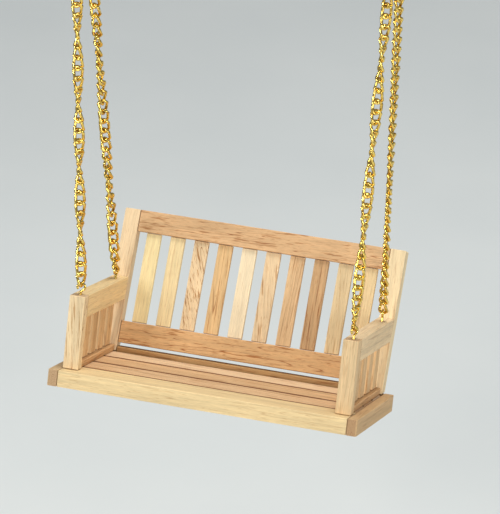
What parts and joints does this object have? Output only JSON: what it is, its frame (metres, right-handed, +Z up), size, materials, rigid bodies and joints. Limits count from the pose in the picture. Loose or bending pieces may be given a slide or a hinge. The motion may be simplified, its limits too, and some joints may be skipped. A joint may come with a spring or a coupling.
{
  "type": "miniature porch swing",
  "caption": "Small slatted wooden porch bench with arms and a leaning back, hung on gilt chains from rings on ceiling hooks.",
  "frame": {"origin": "midway between the two ceiling hooks, on the axis that the bench swings about", "axes": "+X from the left hook to the right one, as seen from the front; -Y is the side a sitter faces; +Z up, against gravity, with the bench as it hangs"},
  "size_m": [0.1494, 0.0975, 0.2992],
  "materials": {
    "pale_wood": "matte",
    "tan_wood": "matte",
    "yellow_wood": "matte",
    "gilt_brass": "polished"
  },
  "bodies": {
    "ceiling_hooks": {"ceiling_hook_left": "gilt_brass", "ceiling_hook_right": "gilt_brass"},
    "hanging_rings": {"hanging_ring_left": "gilt_brass", "hanging_ring_right": "gilt_brass"},
    "left_chains": {"chain_front_left": "gilt_brass", "chain_rear_left": "gilt_brass"},
    "right_chains": {"chain_front_right": "gilt_brass", "chain_rear_right": "gilt_brass"},
    "bench": {"front_rail": "pale_wood", "front_post_left": "pale_wood", "front_post_right": "pale_wood", "back_stile_left": "pale_wood", "back_stile_right": "pale_wood", "end_board_left": "tan_wood", "end_board_right": "tan_wood", "seat_board_1": "tan_wood", "seat_board_2": "tan_wood", "seat_board_3": "tan_wood", "seat_bearer_1": "tan_wood", "seat_bearer_2": "tan_wood", "seat_bearer_3": "tan_wood", "rear_rail": "tan_wood", "arm_rail_left": "tan_wood", "arm_rail_right": "tan_wood", "arm_lower_rail_left": "tan_wood", "arm_lower_rail_right": "tan_wood", "back_top_rail": "tan_wood", "back_bottom_rail": "tan_wood", "arm_spindle_left_1": "yellow_wood", "arm_spindle_left_2": "yellow_wood", "arm_spindle_left_3": "yellow_wood", "arm_spindle_left_4": "yellow_wood", "arm_spindle_right_1": "yellow_wood", "arm_spindle_right_2": "yellow_wood", "arm_spindle_right_3": "yellow_wood", "arm_spindle_right_4": "yellow_wood", "back_slat_01": "yellow_wood", "back_slat_02": "yellow_wood", "back_slat_03": "yellow_wood", "back_slat_04": "yellow_wood", "back_slat_05": "yellow_wood", "back_slat_06": "yellow_wood", "back_slat_07": "yellow_wood", "back_slat_08": "yellow_wood", "back_slat_09": "yellow_wood", "back_slat_10": "yellow_wood", "screw_eye_front_left": "gilt_brass", "screw_eye_front_right": "gilt_brass", "screw_eye_rear_left": "gilt_brass", "screw_eye_rear_right": "gilt_brass"}
  },
  "joints": [
    {"name": "swing", "type": "hinge", "parent": "ceiling_hooks", "child": "hanging_rings", "pos_m": [0, 0, 0], "axis": [1, 0, 0], "range_deg": [-30, 30]},
    {"name": "left_sway", "type": "hinge", "parent": "hanging_rings", "child": "left_chains", "pos_m": [-0.071, 0, -0.00764], "axis": [0, 0.9494, -0.314], "range_deg": [-10, 10]},
    {"name": "right_sway", "type": "hinge", "parent": "hanging_rings", "child": "right_chains", "pos_m": [0.071, 0, -0.00764], "axis": [0, 0.9494, -0.314], "range_deg": [-10, 10]},
    {"name": "bench_level", "type": "hinge", "parent": "left_chains", "child": "bench", "pos_m": [-0.0618, 0.00104, -0.23079], "axis": [0, 0.9494, -0.314], "range_deg": [-12, 12]}
  ],
  "couplings": [
    {"joint": "right_sway", "follows": "left_sway", "ratio": 1},
    {"joint": "bench_level", "follows": "left_sway", "ratio": -1.1489}
  ]
}
